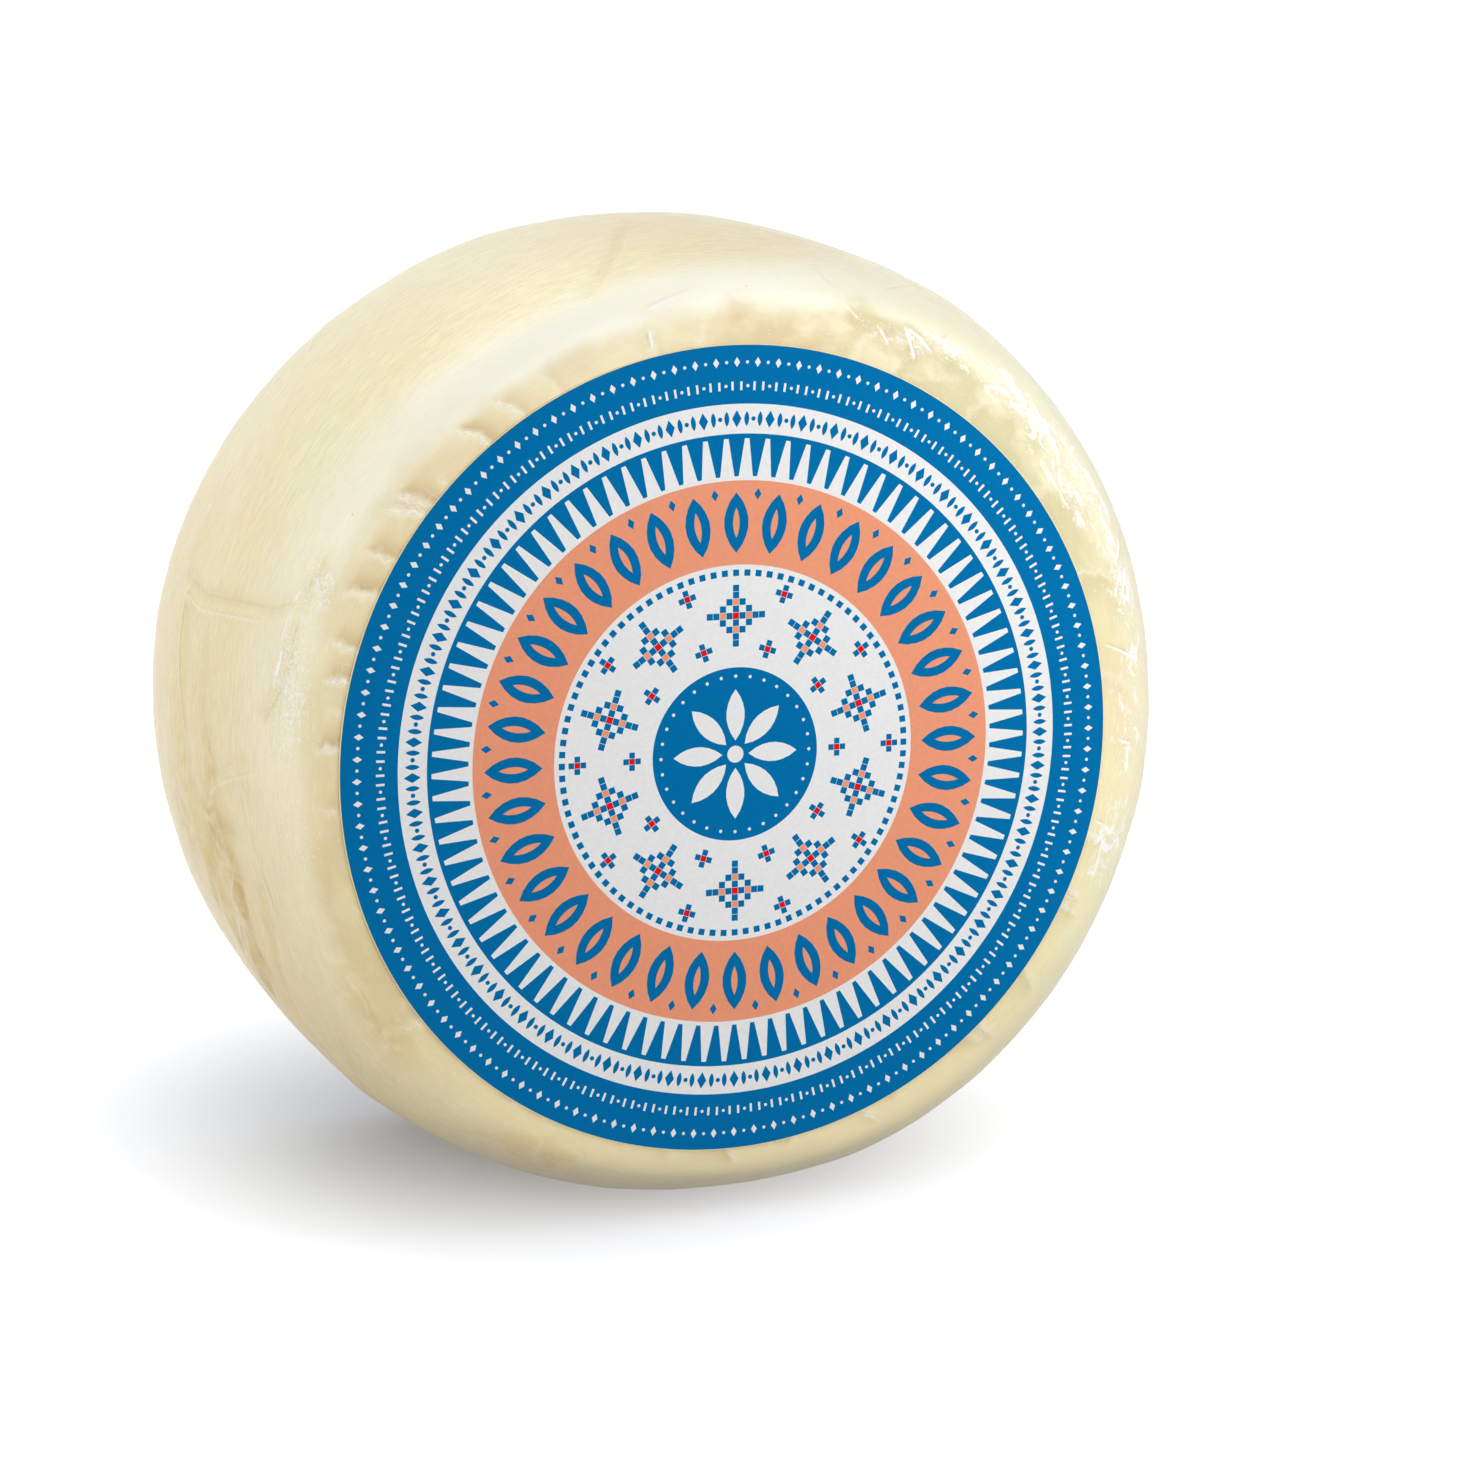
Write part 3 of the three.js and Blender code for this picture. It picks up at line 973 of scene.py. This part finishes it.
stage = {
    "colour": "#ACB0B7",
    # the painted shadow round the wheel's foot: its tint and its weak glow
    "shadowTint": "#F7F7F8",
    "shadowGlow": 0.13,
    "farGlow": 0.71,
    # the middle of the painted shadow
    "shadowMiddle": (-16.0, 32.0),  # the sweep is dimmest here, under the wheel, and brightens away from it
    "glowStart": 0.0,
    "glowEnd": 122.0,
    "glowDepth": 0.945,  # how soon it brightens from front to back, against from side to side
    "halfWidth": 3000.0,
    "front": -2600.0,
    "back": 1500.0,
    "bend": 700.0,
    "bendSteps": 24,
    "height": 2600.0,
    "wallRadius": 2500.0,
    "wallSteps": 64,
}


def makeSweep():
    steps = stage["bendSteps"]
    profile = [(stage["front"], 0), (stage["back"], 0)]
    for i in range(1, steps + 1):
        angle, bend = math.pi / 2 * i / steps, stage["bend"]
        profile.append((stage["back"] + bend * math.sin(angle), bend * (1 - math.cos(angle))))
    profile.append((stage["back"] + stage["bend"], stage["height"]))
    verts = [(x * mm, y * mm, z * mm) for y, z in profile for x in (-stage["halfWidth"], stage["halfWidth"])]
    faces = [(2 * i, 2 * i + 1, 2 * i + 3, 2 * i + 2) for i in range(len(profile) - 1)]
    mesh = bpy.data.meshes.new("paleSweep")
    mesh.from_pydata(verts, [], faces)
    mesh.polygons.foreach_set("use_smooth", [True] * len(mesh.polygons))
    material, tree = newMaterial("sweepPaintedShadow")
    place = addNode(tree, "TexCoord").outputs["Object"]
    middleX, middleY = (part * mm for part in stage["shadowMiddle"])
    oval = addNode(tree, "VectorMath", {
        "operation": "MULTIPLY_ADD",
        1: (1, stage["glowDepth"], 1),
        2: (-middleX, -middleY * stage["glowDepth"], 0),
    }, {0: place})
    away = addNode(tree, "VectorMath", {"operation": "LENGTH"}, {0: oval})
    far = addNode(tree, "MapRange", {
        "interpolation_type": "SMOOTHSTEP",
        "From Min": stage["glowStart"] * mm,
        "From Max": stage["glowEnd"] * mm,
    }, {"Value": away})
    # A painted shadow: the glow is weak near the wheel and tinted there
    glow = addNode(tree, "MapRange", {
        "To Min": stage["shadowGlow"], "To Max": stage["farGlow"],
    }, {"Value": far})
    tint = addNode(tree, "Mix", {
        "data_type": "RGBA", 6: hexColour(stage["shadowTint"]), 7: hexColour("#FFFFFF"),
    }, {0: far})
    shader = addNode(tree, "BsdfPrincipled", {
        "Base Color": hexColour(stage["colour"]), "Roughness": 0.9, "Specular IOR Level": 0.1,
    }, {"Emission Color": tint, "Emission Strength": glow})
    addNode(tree, "OutputMaterial", {}, {"Surface": shader})
    mesh.materials.append(material)
    sweep = bpy.data.objects.new("paleSweep", mesh)
    sweep.visible_diffuse = sweep.visible_shadow = False  # the room gives the light that a table throws back
    bpy.context.scene.collection.objects.link(sweep)

    # A round wall closes the view from the sides and the back. Only the camera sees it
    steps = stage["wallSteps"]
    ring = [polar(stage["wallRadius"] * mm, 360 * i / steps) for i in range(steps)]
    verts = [(x, y, z) for x, y in ring for z in (0, stage["height"] * mm)]
    faces = [(2 * i, 2 * i + 1, (2 * i + 3) % (2 * steps), (2 * i + 2) % (2 * steps)) for i in range(steps)]
    mesh = bpy.data.meshes.new("paleWall")
    mesh.from_pydata(verts, [], faces)
    mesh.materials.append(material)
    wall = bpy.data.objects.new("paleWall", mesh)
    wall.visible_diffuse = wall.visible_glossy = wall.visible_transmission = wall.visible_shadow = False
    bpy.context.scene.collection.objects.link(wall)


makeSweep()
print("the sweep is made")


# Light: a near softbox to the right of the label, large far ones in front, on the left and above behind,
# and a small low one for what a table throws back. Each has its direction from the wheel, its distance and
# size in millimetres, and its power in watts

centre = Vector((0, 0, wheel["radius"] * mm))

lights = {
    "right": {"towards": (0.54, -0.68, 0.50), "distance": 230, "size": (150, 150), "power": 0.122},
    "front": {"towards": (0.20, -0.95, 0.24), "distance": 900, "size": (700, 500), "power": 1.8},
    "left": {"towards": (-0.92, -0.36, 0.20), "distance": 900, "size": (1000, 900), "power": 3.6},
    "behind": {"towards": (-0.20, 0.44, 0.88), "distance": 800, "size": (600, 500), "power": 1.95},
    "bounce": {"towards": (0.80, -0.55, -0.20), "distance": 200, "size": (100, 100), "power": 0.019},
}
room = {"colour": "#FFFFFF", "strength": 0.29}


def makeLights():
    for name, light in lights.items():
        lamp = bpy.data.lights.new(name, "AREA")
        lamp.shape = "RECTANGLE"
        lamp.size, lamp.size_y = (side * mm for side in light["size"])
        lamp.energy = light["power"]
        towards = Vector(light["towards"]).normalized()
        rig = bpy.data.objects.new(name, lamp)
        rig.location = centre + towards * light["distance"] * mm
        rig.rotation_euler = towards.to_track_quat("Z", "Y").to_euler()
        bpy.context.scene.collection.objects.link(rig)
    world = bpy.data.worlds.new("paleRoom")
    world.use_nodes = True
    world.node_tree.nodes.clear()
    glow = addNode(world.node_tree, "Background", {
        "Color": hexColour(room["colour"]), "Strength": room["strength"],
    })
    addNode(world.node_tree, "OutputWorld", {}, {"Surface": glow})
    bpy.context.scene.world = world


makeLights()
print("the lights are on")


# The camera, at the photograph's viewing angle

view = {
    "azimuth": -20.2,
    "elevation": 10.65,
    "distance": 700.0,
    "imageSize": 1476,
    "focalPixels": 3815.0,
    "wheelPixel": (648.9, 696.2),  # where the wheel's middle lies in the photograph
    "sensor": 36.0,
}


def makeCamera():
    azimuth, elevation = math.radians(view["azimuth"]), math.radians(view["elevation"])
    level = math.cos(elevation)
    back = Vector((math.sin(azimuth) * level, -math.cos(azimuth) * level, math.sin(elevation)))
    middle = Vector((0, 0, (wheel["radius"] + outlineRelief(-90) - wheel["restDepth"]) * mm))
    data = bpy.data.cameras.new("camera")
    data.sensor_width = view["sensor"]
    data.lens = view["focalPixels"] / view["imageSize"] * view["sensor"]
    data.clip_start, data.clip_end = 0.01, 20
    half = view["imageSize"] / 2
    data.shift_x = (half - view["wheelPixel"][0]) / view["imageSize"]
    data.shift_y = (view["wheelPixel"][1] - half) / view["imageSize"]
    camera = bpy.data.objects.new("camera", data)
    camera.location = middle + back * view["distance"] * mm
    camera.rotation_euler = back.to_track_quat("Z", "Y").to_euler()
    bpy.context.scene.collection.objects.link(camera)
    bpy.context.scene.camera = camera


makeCamera()
bpy.context.scene.view_settings.view_transform = "Standard"
bpy.context.scene.view_settings.look = "Medium High Contrast"
print("the camera is set")
